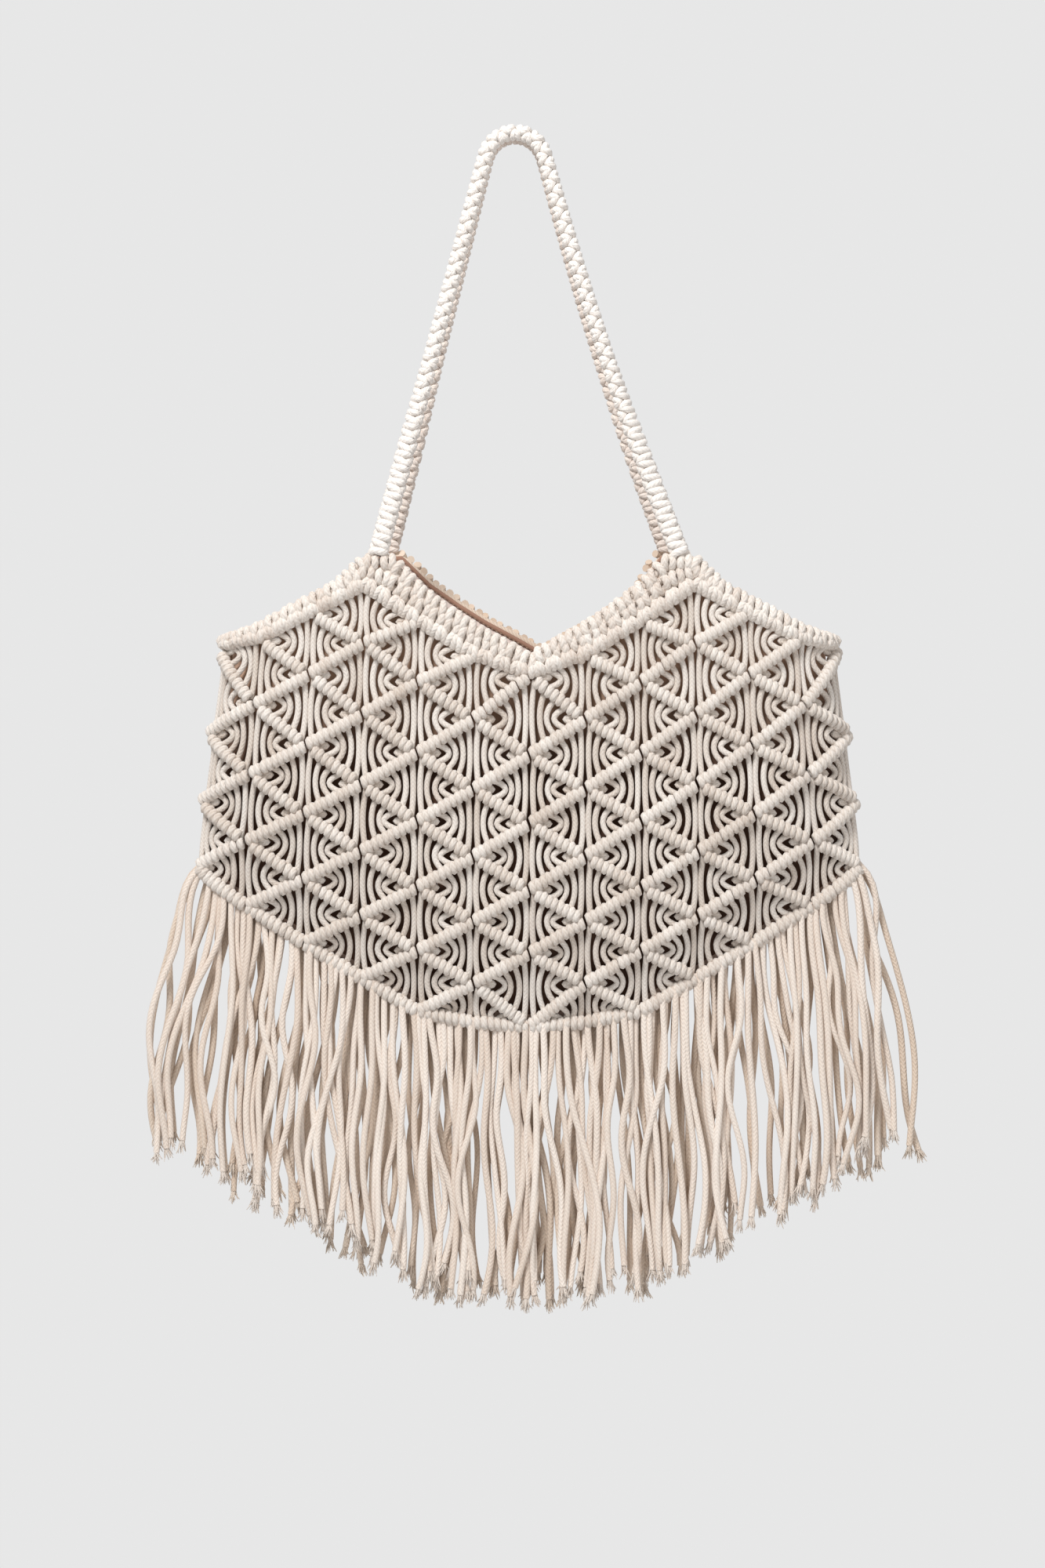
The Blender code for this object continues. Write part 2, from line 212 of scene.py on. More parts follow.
def row_height(j, row):
    """Height of a half row: the rows tighten downwards and rise at the sides."""
    top = rim_lower(0) + ROW_START * ROW
    return top - ROW * row + ROW_TIGHTENS * row * row + SIDE_LIFT * j * j


def node_height(j, row):
    """Height of a crossing of two ridges."""
    j = min(j, HALF_COLUMNS)
    if row <= rim_row(j):
        return rim_lower(j)
    if j < 2 and row >= border_row(j):
        return row_height(2, border_row(2)) - ROW * (0.30 + 0.12 * (1 - j))
    return row_height(j, row)


def border(column):
    """Bottom edge of the nets at a column."""
    c = min(abs(column), HALF_COLUMNS)
    j = min(int(c), HALF_COLUMNS - 1)
    low = node_height(j, border_row(j))
    high = node_height(j + 1, border_row(j + 1))
    return low + (c - j) * (high - low)


def height_share(column, z):
    """How far up the net a height lies, from 0 at the border to 1."""
    low = border(column)
    return max(0.0, min(1.0, (z - low) / (rim_lower(column) - low)))


def lifted(face, column, z):
    """The back face is drawn a little higher than the front."""
    c = min(abs(column), HALF_COLUMNS) / HALF_COLUMNS
    return z + face["rise"] * height_share(column, z) * (1 - c * c)


def swell(column, z, lift=0.0):
    """How far the two faces stand apart, from 0 at the bottom seam to 1."""
    rise = max(0.0, min(1.0, (z - border(column) - lift) / CLOSING_HEIGHT))
    return 1 - (1 - rise) ** 2


def side_flare(z):
    """How far the sides stand out at a height; the bag widens downwards."""
    top = rim_lower(HALF_COLUMNS)
    share = max(-0.4, min(1.0, (top - z) / (top - border(HALF_COLUMNS))))
    return FLARE * (share - 0.65)


def on_body(face, column, z, out, lift=0.0):
    """Point on one face: column across, height, and distance outwards."""
    side = math.copysign(1.0, column)
    c = min(abs(column), HALF_COLUMNS)
    full = swell(column, z, lift)
    slope = math.atan(float(np.interp(c, SECTION[0], SECTION[3])) * full)
    part = c / HALF_COLUMNS
    x = BODY_X + side * (float(np.interp(c, SECTION[0], SECTION[1])) + side_flare(z) * part ** 3)
    x += face["shift"] * height_share(column, z) * (1 - part * part)
    x += side * out * math.sin(slope)
    y = CLEAR / 2 + float(np.interp(c, SECTION[0], SECTION[2])) * full + out * math.cos(slope)
    return Vector((x, face["sign"] * y, z))


def linear(code):
    """Linear colour from an sRGB hex code."""
    parts = [int(code[n:n + 2], 16) / 255 for n in (1, 3, 5)]
    return (*[p / 12.92 if p <= 0.04045 else ((p + 0.055) / 1.055) ** 2.4 for p in parts], 1)


def add(tree, kind, links=None, **values):
    """One shader node. Values named with an underscore in front are its sockets."""
    made = tree.nodes.new(kind)
    for key, value in values.items():
        if key.startswith("_"):
            made.inputs[key[1:].replace("_", " ")].default_value = value
        else:
            setattr(made, key, value)
    for socket, source in (links or {}).items():
        tree.links.new(source, made.inputs[socket])
    return made


def maths(tree, operation, first, second=0.0):
    """One Math node of two sockets or numbers."""
    made = tree.nodes.new("ShaderNodeMath")
    made.operation = operation
    for n, value in enumerate((first, second)):
        if isinstance(value, (int, float)):
            made.inputs[n].default_value = value
        else:
            tree.links.new(value, made.inputs[n])
    return made.outputs[0]


def cotton(name, groove, light):
    """Braided cotton cord. The braid shows as fine slanting plaits in two
    directions, the fibres as a soft dull fuzz, and each length of cord differs
    a little in tone. Where the braid sinks in, the colour is drawn towards the
    groove colour as painted shade."""
    plait = 0.0026
    plaits_round = 6.0
    fibre = 0.0004
    blotch = 0.030
    material = bpy.data.materials.new(name)
    material.use_nodes = True
    tree = material.node_tree
    shader = tree.nodes["Principled BSDF"]
    place = add(tree, "ShaderNodeTexCoord")
    lengths = add(tree, "ShaderNodeSeparateXYZ", {0: add(
        tree, "ShaderNodeUVMap", uv_map="cord").outputs[0]})
    along = maths(tree, "DIVIDE", lengths.outputs[0], plait)
    around = maths(tree, "PINGPONG", maths(
        tree, "MULTIPLY", lengths.outputs[1], plaits_round), 1.0)
    turned = maths(tree, "MULTIPLY", maths(tree, "ADD", along, around), math.pi)
    braid = maths(tree, "ABSOLUTE", maths(tree, "SINE", turned))
    fuzz = add(tree, "ShaderNodeTexNoise", {"Vector": place.outputs["Object"]},
               _Scale=1 / fibre, _Detail=2.0, _Roughness=0.6)
    tone = add(tree, "ShaderNodeTexNoise", {"Vector": place.outputs["Object"]},
               _Scale=1 / blotch, _Detail=3.0)
    shade = add(tree, "ShaderNodeAttribute", attribute_name="shade")
    # Painted shade: the braid's valleys pull the colour towards the groove colour; the fuzz, the
    # blotches and each cord's own tone vary it at random
    depth = maths(tree, "ADD", maths(tree, "MULTIPLY", braid, 0.24),
                  maths(tree, "MULTIPLY", fuzz.outputs["Fac"], 0.35))
    depth = maths(tree, "ADD", depth, maths(tree, "MULTIPLY", tone.outputs["Fac"], 0.35))
    depth = maths(tree, "ADD", depth, shade.outputs["Fac"])
    mix = add(tree, "ShaderNodeMix", {"Factor": depth}, data_type="RGBA")
    mix.inputs[6].default_value = linear(groove)
    mix.inputs[7].default_value = linear(light)
    relief = maths(tree, "ADD", maths(tree, "MULTIPLY", braid, 0.7),
                   maths(tree, "MULTIPLY", fuzz.outputs["Fac"], 0.5))
    bump = add(tree, "ShaderNodeBump", {"Height": relief}, _Strength=0.55, _Distance=0.0006)
    tree.links.new(mix.outputs[2], shader.inputs["Base Color"])
    tree.links.new(bump.outputs["Normal"], shader.inputs["Normal"])
    shader.inputs["Roughness"].default_value = 0.92
    shader.inputs["Specular IOR Level"].default_value = 0.2
    shader.inputs["Sheen Weight"].default_value = 0.25
    shader.inputs["Sheen Roughness"].default_value = 0.6
    return material


def cords(name, runs, material, sides=8):
    """Many round cords as one mesh. A run is (points, radii, shade, closed).
    The map "cord" holds metres along and turns around each cord, and "shade"
    how much paler or darker it is than its fellows."""
    curve = bpy.data.curves.new(name + "_path", "CURVE")
    curve.dimensions = "3D"
    curve.bevel_depth = 1.0
    curve.bevel_resolution = sides // 2 - 2
    curve.use_fill_caps = True
    for points, radii, shade, ring in runs:
        spline = curve.splines.new("POLY")
        spline.points.add(len(points) - 1)
        spline.points.foreach_set("co", [v for p in points for v in (p[0], p[1], p[2], 1.0)])
        spline.points.foreach_set("radius", radii)
        spline.use_cyclic_u = ring
    path = bpy.data.objects.new(name + "_path", curve)
    mesh = bpy.data.meshes.new_from_object(path)
    bpy.data.objects.remove(path)
    bpy.data.curves.remove(curve)
    mesh.name = name

    caps = sum(2 * sides for run in runs if not run[3])
    along, station, total, shades, quads, cap_shades = [], [], [], [], 0, []
    for points, radii, shade, ring in runs:
        places = np.array([tuple(p) for p in points])
        steps = np.linalg.norm(np.diff(places, axis=0), axis=1)
        done = np.concatenate([[0.0], np.cumsum(steps)])
        along.append(done)
        station.append(np.arange(len(points)))
        total.append(np.full(len(points), done[-1] + np.linalg.norm(places[-1] - places[0])))
        shades.append(np.full(len(points), shade))
        quads += (len(points) if ring else len(points) - 1) * sides
        if not ring:
            cap_shades.append(np.full(2 * sides, shade))
    along, station, total = (np.concatenate(v).repeat(sides) for v in (along, station, total))
    side = np.tile(np.arange(sides), len(along) // sides)
    corners = np.empty(len(mesh.loops), dtype=np.int32)
    mesh.loops.foreach_get("vertex_index", corners)
    wall = corners[-4 * quads:].reshape(-1, 4) - caps
    u = along[wall]
    v = side[wall].astype(float)
    k = station[wall]
    v[(np.ptp(v, axis=1) > 1)[:, None] & (v == 0)] = sides
    back = (np.ptp(k, axis=1) > 1)[:, None] & (k == 0)
    u[back] = total[wall][back]
    both = np.zeros((len(mesh.loops), 2))
    both[-4 * quads:, 0] = u.ravel()
    both[-4 * quads:, 1] = v.ravel() / sides
    for layer in list(mesh.uv_layers):
        mesh.uv_layers.remove(layer)
    mesh.uv_layers.new(name="cord").data.foreach_set("uv", both.ravel())
    tone = mesh.attributes.new("shade", "FLOAT", "POINT")
    every = cap_shades + [np.concatenate(shades).repeat(sides)]
    tone.data.foreach_set("value", np.concatenate(every))
    mesh.polygons.foreach_set("use_smooth", [True] * len(mesh.polygons))
    mesh.materials.clear()
    mesh.materials.append(material)
    made = bpy.data.objects.new(name, mesh)
    bpy.context.scene.collection.objects.link(made)
    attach(made, "root")
    return made


def crossing(face, i, row):
    """Column and height of a lattice node."""
    return i, lifted(face, i, node_height(abs(i), row))


def diamonds():
    """Middle column and half row of each diamond, half ones at the sides."""
    found = []
    for i in range(-HALF_COLUMNS, HALF_COLUMNS + 1):
        for row in range(-2, 14):
            if (row - i) % 2 == 0 and rim_row(abs(i)) < row < border_row(abs(i)):
                found.append((i, row))
    return found


def outward(face, column, z, out):
    """Direction away from the bag at a point of a face."""
    return (on_body(face, column, z, out + 0.001) - on_body(face, column, z, out)).normalized()


RIDGE_CORE = 0.00205
HITCH_CORD = 0.00232
HITCH_POINTS = 10
LEAN = math.radians(12)


def hitch(face, start, end, share, girth):
    """One wrap of cord round a ridge between two crossings."""
    core = RIDGE_CORE * girth
    column = start[0] + (end[0] - start[0]) * share
    z = start[1] + (end[1] - start[1]) * share
    ahead = 0.02 if share < 0.5 else -0.02
    centre = on_body(face, column, z, CORD)
    nearby = on_body(face, column + (end[0] - start[0]) * ahead,
                     z + (end[1] - start[1]) * ahead, CORD)
    ridge = (nearby - centre).normalized()
    if ridge.z < 0:
        ridge.negate()
    normal = outward(face, column, z, CORD)
    across = ridge.cross(normal).normalized()
    if across.z < 0:
        across.negate()
    wobble = 1 + rng.uniform(-0.05, 0.05)
    shift = ridge * rng.uniform(-0.0002, 0.0002)
    points = []
    for n in range(HITCH_POINTS):
        turn = 2 * math.pi * n / HITCH_POINTS
        points.append(centre + shift + across * (core * wobble * math.cos(turn))
                      + normal * (core * wobble * math.sin(turn))
                      + ridge * (core * math.tan(LEAN) * math.cos(turn)))
    return points, [HITCH_CORD * (1 + rng.uniform(-0.05, 0.05))] * HITCH_POINTS


rng = random.Random(11)
# Undyed cotton: near-white faces and warm grey grooves. The back face gets a
# darker, a little yellower copy of it: painted shade, as the light reaches that face less
net_cotton = cotton("braided_cotton_of_nets", "#bba897", "#f3eee8")
back_cotton_painted_shade = cotton("braided_cotton_of_back", "#c0a68e", "#f1e4d6")
CELLS = diamonds()
KNOTS = 5
RIDGE_LENGTH = 0.0397 * 0.96
EDGE_GIRTH = 1.2
EDGE_MARGIN = 0.01
RISING_MARGIN = 0.02
FALLING_MARGIN = 0.11
NET_CORD = 0.00180
NET_CORD_POINTS = 9
NET_CORD_OUT = 0.0022
NET_CORD_SINKS = 0.0008
FRACTIONS = (0.1, 0.3, 0.5, 0.7, 0.9)
MIDDLES = (0.053, 0.18, 0.315, 0.43, 0.635)
for face in (FRONT, BACK):
    # Ridges: those that rise to the right run on over each crossing, the
    # others stop short of it, and the border is one thick rope
    edges = set()
    for i, row in CELLS:
        corner = {"left": (i - 1, row), "right": (i + 1, row),
                  "top": (i, row - 1), "bottom": (i, row + 1)}
        if i > -HALF_COLUMNS:
            edges.add((corner["left"], corner["top"]))
            edges.add((corner["left"], corner["bottom"]))
        if i < HALF_COLUMNS:
            edges.add((corner["top"], corner["right"]))
            edges.add((corner["bottom"], corner["right"]))
    runs = []
    for a, b in sorted(edges):
        if a[1] <= rim_row(abs(a[0])) and b[1] <= rim_row(abs(b[0])):
            continue
        start = crossing(face, *a)
        end = crossing(face, *b)
        rising = b[1] < a[1]
        edge = all(row >= border_row(abs(i)) for i, row in (a, b))
        margin = EDGE_MARGIN if edge else RISING_MARGIN if rising else FALLING_MARGIN
        length = (on_body(face, *start, CORD) - on_body(face, *end, CORD)).length
        knots = max(2, round(KNOTS * length * (1 - 2 * margin) / RIDGE_LENGTH))
        tone = rng.uniform(-0.08, 0.08)
        for n in range(knots):
            own = tone + rng.uniform(-0.10, 0.10)
            for half in (-0.24, 0.24):
                share = margin + (1 - 2 * margin) * (n + 0.5 + half) / knots
                points, radii = hitch(face, start, end, share, EDGE_GIRTH if edge else 1.0)
                runs.append((points, radii, own, True))
    ridges = cords(face["name"] + "_ridges", runs, net_cotton, sides=6)
    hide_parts(face["name"] + "_net")

    # Loose cords: five on each side of a diamond, each bent in towards its
    # middle column
    runs = []
    for i, row in CELLS:
        top = crossing(face, i, row - 1)[1]
        bottom = crossing(face, i, row + 1)[1]
        for side in (-1, 1):
            if abs(i + side) > HALF_COLUMNS:
                continue
            level = crossing(face, i + side, row)[1]
            for fraction, middle in zip(FRACTIONS, MIDDLES):
                first = Vector((fraction, 0, top + (level - top) * fraction))
                last = Vector((fraction, 0, bottom + (level - bottom) * fraction))
                mean = first.lerp(last, 0.5)
                mean.x = middle + rng.uniform(-0.015, 0.015)
                tube = NET_CORD * (1 + rng.uniform(-0.05, 0.05))
                depth = rng.uniform(-0.0004, 0.0004)
                points = []
                for n in range(NET_CORD_POINTS):
                    t = n / (NET_CORD_POINTS - 1)
                    bulge = 1 - 4 * (t - 0.5) ** 2
                    flat = first.lerp(last, t) + (mean - first.lerp(last, 0.5)) * bulge
                    out = NET_CORD_OUT - (NET_CORD_SINKS - depth) * bulge
                    points.append(on_body(face, i + side * flat.x, flat.z, out))
                runs.append((points, [tube] * NET_CORD_POINTS,
                             rng.uniform(-0.16, 0.16), False))
    strands = cords(face["name"] + "_net_cords", runs, net_cotton)
    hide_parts(face["name"] + "_net")

# Rim bands: knotted cotton cords along the mouth, on carrier cords that run
# lengthwise behind them. Upright turns stand in pairs along the upper edge,
# short turns fan out in threes along the lower one, and a third row fills the
# band under its peaks. The nets hang from the bands.
BAND_PITCH = 0.0106
KNOT_OUT = 0.0042
KNOT_REACH = 0.0125
KNOT_CORD = 0.00245
TALL_BAND = 0.0155
CARRIER_LEVELS = (0.14, 0.38, 0.62, 0.86)
CARRIER_OUT = KNOT_OUT - 0.0020
CARRIER_CORD = 0.0024


def ladder_knot(side):
    """Half of a square knot: one upright turn of cord. Each point is distance
    along, distance out and share of the knot's reach."""
    x = side * 0.0025
    end = x - side * 0.0008
    return ((end, -0.0012, -0.30), (x, 0.0014, -0.17), (x + side * 0.0003, 0.0021, 0.0),
            (x, 0.0014, 0.17), (end, -0.0012, 0.30))


def petal_knot(side):
    """One of the three short turns that fan out along the lower edge."""
    return ((side * 0.0010, -0.0010, 0.26), (side * 0.0020, 0.0018, 0.12),
            (side * 0.0032, 0.0024, -0.10), (side * 0.0037, -0.0012, -0.30))


def row_line(low, high, row):
    """Height of a row of knots between the band's lower and upper edge."""
    reach = min(high - low, KNOT_REACH)
    return (low + 0.27 * reach, (low + high) / 2, high - 0.33 * reach)[row]


def band_knot(face, shapes, column, z, height, lean):
    """The turns of one knot, laid on the face and slanted with the band."""
    shade = rng.uniform(-0.10, 0.10)
    made = []
    for line in shapes:
        tube = KNOT_CORD * (1 + rng.uniform(-0.07, 0.07))
        turn = rng.uniform(-0.12, 0.12)
        points = []
        for x, out, share in line:
            along = x - lean * share * height * 0.6 + turn * share * height
            points.append(on_body(face, column + along / COLUMN,
                                  z + share * height + lean * x, KNOT_OUT + out))
        made.append((points, [tube] * len(points), shade + rng.uniform(-0.08, 0.08), False))
    return made


# A brighter copy of the same cotton for the front band: painted light, where the knots stand out
# into the light
band_cotton_painted_light = cotton("braided_cotton_of_bands_painted_light", "#c4b0a0", "#f9f5ef")
for face in (FRONT, BACK):
    lines = []
    steps = 480
    for n in range(steps + 1):
        column = -HALF_COLUMNS + 2 * HALF_COLUMNS * n / steps
        high = lifted(face, column, rim_upper(face, column))
        low = lifted(face, column, rim_lower(column))
        lines.append((column, low, high))
    runs = []
    ladder = (ladder_knot(-1), ladder_knot(1))
    petals = [petal_knot(k) for k in (-1, 0, 1)]
    for row, shapes, first in ((1, ladder, 0.75), (2, ladder, 0.25), (0, petals, 0.75)):
        done = 0.0
        want = BAND_PITCH * first
        for (c0, l0, h0), (c1, l1, h1) in zip(lines, lines[1:]):
            z0 = row_line(l0, h0, row)
            z1 = row_line(l1, h1, row)
            step = math.hypot((c1 - c0) * COLUMN, z1 - z0)
            if done <= want < done + step:
                lean = (z1 - z0) / ((c1 - c0) * COLUMN)
                if row != 1 or h0 - l0 > TALL_BAND:
                    runs += band_knot(face, shapes, c0, z0, min(h0 - l0, KNOT_REACH), lean)
                want += BAND_PITCH
            done += step
    for level in CARRIER_LEVELS:
        carrier = [on_body(face, c, low + level * (high - low), CARRIER_OUT)
                   for c, low, high in lines[4:-4:4]]
        runs.append((carrier, [CARRIER_CORD] * len(carrier), -0.10, False))
    # The back band takes the darker copy of the cotton: painted shade
    band = cords(face["name"] + "_band_knots", runs,
                 band_cotton_painted_light if face is FRONT else back_cotton_painted_shade)
    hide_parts(face["name"] + "_rim_band")

# Handles: one square-knot strap to each face, two working cords tied round
# two fillers, fixed to the peaks of its band and turned on edge over the hook
STRAP_WIDTH = 0.014
STRAP_THICKNESS = 0.0096
STRAP_FACE = 0.0128
HALF_KNOT = 0.00435
HOOK_RADIUS = 0.0137
TWIST_SHARE = 0.55
LEG_BOW = 0.004
BAND_CROWN = 0.009
STRAP_CORD = 0.00235
FILLER_CORD = 0.0020
FILLER_OFF = 0.0016
FILLER_POINTS = 121
HALF_KNOT_POINTS = 8


def smooth(share):
    """Soft step from 0 to 1."""
    share = max(0.0, min(1.0, share))
    return share * share * (3 - 2 * share)


def touch_angle(point, centre, radius, side):
    """Angle at which a straight leg from a point touches a circle."""
    away = Vector((point.x - centre.x, point.z - centre.z))
    opening = math.acos(radius / away.length)
    towards = math.atan2(away.y, away.x)
    return towards + 2 * math.pi - opening if side < 0 else towards + opening


def leg(foot, top, bow):
    """Straight leg of a strap, bowed a little sideways."""
    points = []
    for n in range(9):
        place = foot.lerp(top, n / 8)
        place.x -= bow * math.sin(math.pi * n / 8)
        points.append(place)
    return points


def strap_line(face):
    """Flat line of the strap's middle, from its left foot over to the right."""
    feet = []
    for side in (-1, 1):
        column = side * face["peaks"][side > 0]
        z = lifted(face, column, rim_upper(face, column)) + CLEAR
        feet.append(on_body(face, column, z, BAND_CROWN / 2))
    start, end = feet
    radius = HOOK_RADIUS + STRAP_THICKNESS / 2
    centre = Vector((0.0, 0.0, -HOOK_RADIUS))
    first = touch_angle(start, centre, radius, -1)
    last = touch_angle(end, centre, radius, 1)
    arc = []
    for n in range(13):
        angle = first + (last - first) * n / 12
        arc.append(centre + radius * Vector((math.cos(angle), 0, math.sin(angle))))
    flat = leg(start, arc[0], 0.0) + arc[1:-1] + leg(end, arc[-1], LEG_BOW)[::-1]
    return np.array([(p.x, p.z) for p in flat]), start.y


def strap(face, material):
    """The knotted strap of one face: two cords that swing from edge to edge,
    half a knot apart, round two straight fillers."""
    flat, foot_y = strap_line(face)
    done = np.concatenate([[0.0], np.cumsum(np.linalg.norm(np.diff(flat, axis=0), axis=1))])
    length = done[-1]
    halves = round(length / HALF_KNOT)
    near = face["sign"] * (STRAP_WIDTH + CLEAR) / 2
    count = halves * HALF_KNOT_POINTS

    def at(s):
        s = max(0.0, min(length, s))
        reach = abs(2 * s / length - 1)
        return Vector((float(np.interp(s, done, flat[:, 0])), near + (foot_y - near) * reach,
                       float(np.interp(s, done, flat[:, 1]))))

    def local(s):
        ahead = at(min(length, s + 0.002))
        behind = at(max(0.0, s - 0.002))
        along = (ahead - behind).normalized()
        across = along.cross(Vector((0, 1, 0))).normalized()
        turn = math.pi / 2 * smooth((1 - abs(2 * s / length - 1)) / TWIST_SHARE)
        wide = across * math.cos(turn) + Vector((0, 1, 0)) * math.sin(turn)
        return at(s), along, wide, along.cross(wide).normalized()

    half_width = STRAP_FACE / 2 - STRAP_CORD
    half_depth = STRAP_THICKNESS / 2 - STRAP_CORD + 0.0003
    runs = []
    for phase in (0, 1):
        points = []
        radii = []
        for n in range(count + 1):
            t = n / HALF_KNOT_POINTS
            eased = t + 0.62 * math.sin(2 * math.pi * t) / (2 * math.pi)
            s = length * eased / halves
            centre, along, wide, thick = local(s)
            swing = math.cos(math.pi * t)
            x = half_width * (1 if phase else -1) * math.copysign(abs(swing) ** 0.75, swing)
            y = half_depth * (1 if phase else -1) * abs(math.sin(math.pi * t)) ** 0.7
            slack = 1 + 0.05 * noise.noise(Vector((t * 0.9, phase * 7.0, face["sign"] * 3.0)))
            points.append(centre + wide * (x * slack) + thick * y + along * (0.10 * x))
            radii.append(STRAP_CORD * (1 + 0.06 * math.cos(2 * math.pi * t + math.pi)))
        runs.append((points, radii, rng.uniform(-0.04, 0.04), False))
    for off in (-FILLER_OFF, FILLER_OFF):
        points = []
        for n in range(FILLER_POINTS):
            centre, along, wide, thick = local(length * n / (FILLER_POINTS - 1))
            points.append(centre + wide * off)
        runs.append((points, [FILLER_CORD] * FILLER_POINTS, 0.0, False))
    made = cords(face["name"] + "_strap", runs, material)
    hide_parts(face["name"] + "_handle")


# The palest copy of the cotton, with shallow pale grooves: partly painted light, as the thin
# straps catch light from all sides. The back strap's darker copy is painted shade.
strap(FRONT, cotton("braided_cotton_of_handles_painted_light", "#e6dbd1", "#faf6f2"))
strap(BACK, cotton("braided_cotton_of_back_handle_painted_shade", "#d8c7ba", "#f3e9e1"))

# Lining: a pouch of soft tan cloth with a folded and stitched hem, sewn in
# behind the nets. It shows through the gaps of the net and above the rim.
LINING_CLEAR = 0.0012
LINING_LIFT = 0.003
LINING_INSET = 0.003
LINING_DROP = 0.003
LINING_SAG = 0.0030
CLOTH = 0.0012
# Heights over which the cloths go from their painted-shade colours low down to their colours at
# the mouth
DEEP_Z = -0.385
MOUTH_Z = -0.315


def lining_point(face, column, share):
    """Point of the pouch: column across, and share of the way up to its hem."""
    side = math.copysign(1.0, column)
    c = abs(column) / HALF_COLUMNS
    low = border(column) + LINING_LIFT
    own = lifted(face, column, rim_upper(face, column))
    shared = rim_upper(FRONT, column)
    hem = own + (shared - own) * c ** 4 - LINING_DROP
    z = low + share * (hem - low)
    place = on_body(face, column, z, 0.0, LINING_LIFT)
    place.x -= side * LINING_INSET * c ** 3
    apart = max(abs(place.y) - CLEAR / 2 - LINING_CLEAR, CLOTH + CLEAR)
    if share > 0 and c < 1:
        ripple = noise.noise(Vector((column * 0.7, face["sign"] * 5.0, share * 2.0)))
        apart = max(apart - LINING_SAG * (0.7 + 0.5 * ripple) * min(1.0, 6 * (1 - c)),
                    CLOTH / 2 + CLEAR)
    else:
        apart = 0.0
    place.y = face["sign"] * apart
    return place


def plain_cloth(name, low, high, top_low, top_high):
    """Plain woven cotton: fine crossing threads and a soft worn nap that
    lightens it in patches. Its colour is painted darker towards the bottom and
    paler towards the mouth, as painted shade."""
    thread = 0.0007
    patch = 0.040
    material = bpy.data.materials.new(name)
    material.use_nodes = True
    tree = material.node_tree
    shader = tree.nodes["Principled BSDF"]
    place = add(tree, "ShaderNodeTexCoord")
    split = add(tree, "ShaderNodeSeparateXYZ", {0: place.outputs["Object"]})
    pitch = 2 * math.pi / thread
    warp = maths(tree, "SINE", maths(tree, "MULTIPLY", split.outputs[0], pitch))
    weft = maths(tree, "SINE", maths(tree, "MULTIPLY", split.outputs[2], pitch))
    weave = maths(tree, "MULTIPLY", warp, weft)
    tone = add(tree, "ShaderNodeTexNoise", {"Vector": place.outputs["Object"]},
               _Scale=1 / patch, _Detail=4.0)
    factor = maths(tree, "ADD", tone.outputs["Fac"], maths(tree, "MULTIPLY", weave, 0.10))
    # Painted shade: the colour blends from the low pair at DEEP_Z to the top pair at MOUTH_Z
    rise = add(tree, "ShaderNodeMapRange", {"Value": split.outputs[2]})
    rise.inputs["From Min"].default_value = DEEP_Z
    rise.inputs["From Max"].default_value = MOUTH_Z
    both = []
    for first, second in ((low, high), (top_low, top_high)):
        mix = add(tree, "ShaderNodeMix", {"Factor": factor}, data_type="RGBA")
        mix.inputs[6].default_value = linear(first)
        mix.inputs[7].default_value = linear(second)
        both.append(mix.outputs[2])
    blend = add(tree, "ShaderNodeMix", {"Factor": rise.outputs[0]}, data_type="RGBA")
    tree.links.new(both[0], blend.inputs[6])
    tree.links.new(both[1], blend.inputs[7])
    bump = add(tree, "ShaderNodeBump", {"Height": weave}, _Strength=0.3, _Distance=0.0003)
    tree.links.new(blend.outputs[2], shader.inputs["Base Color"])
    tree.links.new(bump.outputs["Normal"], shader.inputs["Normal"])
    shader.inputs["Roughness"].default_value = 0.9
    shader.inputs["Sheen Weight"].default_value = 0.2
    return material


bm = bmesh.new()
for face in (FRONT, BACK):
    grid = bmesh.ops.create_grid(bm, x_segments=96, y_segments=36, size=1)
    for vert in grid["verts"]:
        vert.co = lining_point(face, vert.co.x * HALF_COLUMNS, (vert.co.y + 1) / 2)
bmesh.ops.remove_doubles(bm, verts=bm.verts, dist=1e-6)
bmesh.ops.recalc_face_normals(bm, faces=bm.faces)
for part in bm.faces:
    part.smooth = True
mesh = bpy.data.meshes.new("lining_pouch")
bm.to_mesh(mesh)
bm.free()
# Outside: tan cloth, painted deep brown low down as painted shade in the gaps
# behind the net; towards the mouth its own tan, made paler as painted light
# against the shadow of the band. Inside: a paler rosy cloth, also painted
# darker low down as painted shade.
for cloth in (("tan_lining_outside_painted_shade", "#573a2a", "#6f4e3b", "#c9a58c", "#e0bea4"),
              ("rosy_lining_inside_painted_shade", "#b79a8a", "#cdb3a6", "#d9c5bb", "#eadbd3")):
    mesh.materials.append(plain_cloth(*cloth))
lining = bpy.data.objects.new("lining_pouch", mesh)
bpy.context.scene.collection.objects.link(lining)
wall = lining.modifiers.new("cloth", "SOLIDIFY")
wall.thickness = CLOTH
wall.offset = -1.0
wall.material_offset = 1
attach(lining, "root")
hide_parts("lining")

# Hem tape: a folded brown cotton tape along the lining's edge, sewn down
# under the rim bands with a row of cream stitches
TAPE = 0.0036
TAPE_CLOTH = 0.0005
STITCHES = 150
STITCH = 0.00028
STITCH_LEVEL = TAPE * 0.72


def hem_line(face, column, drop, out):
    """Point on the lining's inner side, a drop below its hem."""
    place = lining_point(face, column, 1.0)
    inward = -face["sign"]
    return Vector((place.x, place.y + inward * out, place.z - drop))


hems = []
